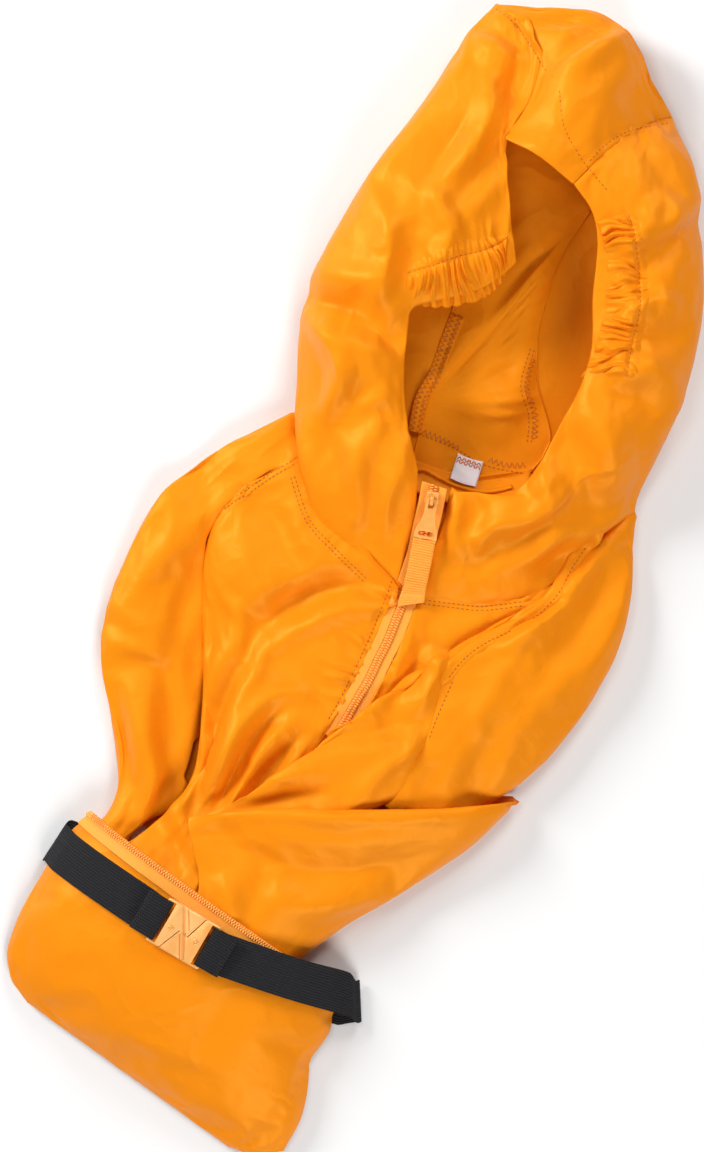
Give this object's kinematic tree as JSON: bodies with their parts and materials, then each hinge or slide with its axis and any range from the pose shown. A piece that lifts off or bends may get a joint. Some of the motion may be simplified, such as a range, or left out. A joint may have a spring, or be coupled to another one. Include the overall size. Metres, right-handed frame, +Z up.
{
  "type": "child's hooded windbreaker laid flat, packed into its own belted pouch",
  "caption": "Hooded nylon windbreaker lying face up, half zip closed, with its lower part stuffed into its own zip pouch and an elastic belt buckled round the pouch.",
  "frame": {"origin": "middle of the footprint, on the surface that the windbreaker lies on", "axes": "+Y up the jacket from the pouch to the top of the hood, +X to the right across it as seen from above, +Z up off the surface"},
  "size_m": [0.304, 0.7145, 0.057],
  "materials": {
    "orange_nylon": "smooth plain-woven nylon with a satin shine",
    "zip_tape": "woven polyester tape, coil teeth and ribbed pull tab, matt",
    "black_elastic": "ribbed woven elastic, matt",
    "orange_cast_metal": "cast and painted, satin",
    "white_label": "woven label, matt"
  },
  "bodies": {
    "garment": {"hood_side_left": "orange_nylon", "hood_side_right": "orange_nylon", "hood_centre": "orange_nylon", "hood_elastic_left": "orange_nylon", "hood_elastic_right": "orange_nylon", "back": "orange_nylon", "front_left": "orange_nylon", "front_right": "orange_nylon", "sleeve_left": "orange_nylon", "sleeve_right": "orange_nylon", "sleeve_right_lower": "orange_nylon", "pouch_front": "orange_nylon", "pouch_back": "orange_nylon", "pouch_zip_tape": "zip_tape", "folded_core": "orange_nylon", "neck_facing": "orange_nylon", "size_label": "white_label", "zip_tape_left": "zip_tape", "zip_tape_right": "zip_tape", "zip_chain": "zip_tape", "zip_slider": "orange_cast_metal", "belt": "black_elastic", "buckle_socket": "orange_cast_metal", "buckle_plug": "orange_cast_metal"},
    "pull": {"zip_pull": "orange_cast_metal", "zip_pull_tab": "zip_tape"}
  },
  "joints": [
    {"name": "zip_pull_turn", "type": "hinge", "parent": "garment", "child": "pull", "pos_m": [0.01569, 0.047, 0.04238], "axis": [-0.9925, -0.1219, 0], "range_deg": [0, 150]}
  ]
}
